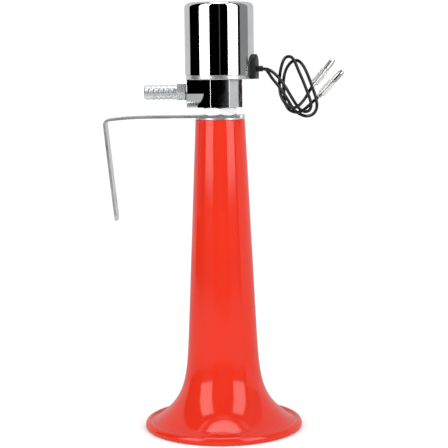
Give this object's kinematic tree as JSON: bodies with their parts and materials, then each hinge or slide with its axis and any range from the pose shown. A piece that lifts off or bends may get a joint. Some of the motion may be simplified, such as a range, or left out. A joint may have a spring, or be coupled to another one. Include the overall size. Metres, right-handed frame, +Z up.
{
  "type": "electric trumpet air horn",
  "caption": "Solenoid-valve trumpet horn standing on its bell: red plastic trumpet, chromed can and valve body, barbed hose inlet, strap bracket, knotted leads with bullet ends.",
  "frame": {"origin": "centre of the bell's mouth, on the plane that the lip rests on", "axes": "+Z up the horn's axis, -X towards the hose nipple and bracket, +X towards the cable side, -Y the front"},
  "size_m": [0.1524, 0.1016, 0.2726],
  "materials": {
    "red_plastic": "polished injection-moulded plastic, through-coloured red",
    "zinc_plated_steel": "bright zinc plate on stamped steel",
    "chrome_plate": "mirror chrome plate",
    "nickel_plated_brass": "bright nickel plate on turned brass",
    "fibre": "black vulcanised fibre",
    "brass": "turned brass",
    "black_rubber": "moulded black rubber",
    "bare_steel": "turned magnetic steel",
    "spring_steel": "drawn spring wire",
    "nylon": "natural glass-filled nylon",
    "enamelled_copper": "enamelled copper wire",
    "foam": "closed-cell foam",
    "lead_insulation": "glossy black vinyl insulation",
    "tinned_brass": "tin plate on rolled brass",
    "clear_vinyl": "clear vinyl tube",
    "reed_bronze": "rolled spring bronze"
  },
  "bodies": {
    "horn": {"trumpet": "red_plastic", "horn_washer": "zinc_plated_steel", "lock_nut": "zinc_plated_steel", "inner_nut": "zinc_plated_steel", "valve_body": "chrome_plate", "nipple_washer": "fibre", "hose_nipple": "nickel_plated_brass", "base_plate": "zinc_plated_steel", "plate_screws": "zinc_plated_steel", "solenoid_can": "chrome_plate", "guide_tube": "brass", "tube_o_ring": "black_rubber", "pole_core": "bare_steel", "plunger_spring": "spring_steel", "coil_bobbin": "nylon", "coil_winding": "enamelled_copper", "coil_cushion": "foam", "coil_tails": "enamelled_copper", "cable_grommet": "black_rubber", "lead_a": "lead_insulation", "lead_b": "lead_insulation", "terminal_a": "tinned_brass", "terminal_b": "tinned_brass", "terminal_sleeve_a": "clear_vinyl", "terminal_sleeve_b": "clear_vinyl", "reed_block": "brass", "reed_clamp": "brass"},
    "bracket": {"mounting_bracket": "zinc_plated_steel"},
    "plunger": {"plunger": "bare_steel", "plunger_seal": "black_rubber"},
    "reed": {"reed_tongue": "reed_bronze"}
  },
  "joints": [
    {"name": "bracket_swivel", "type": "hinge", "parent": "horn", "child": "bracket", "pos_m": [0, 0, 0.20198], "axis": [0, 0, 1], "range_deg": [-150, 150]},
    {"name": "plunger_lift", "type": "slide", "parent": "horn", "child": "plunger", "axis": [0, 0, 1], "range_m": [0, 0.0016], "stiffness_N_per_m": 350, "springref_m": -0.004, "deforming": ["plunger_spring"]},
    {"name": "reed_beat", "type": "hinge", "parent": "horn", "child": "reed", "pos_m": [0, -0.00202, 0.18493], "axis": [-1, 0, 0], "range_deg": [-1.5, 4], "stiffness_Nm_per_rad": 0.005}
  ]
}
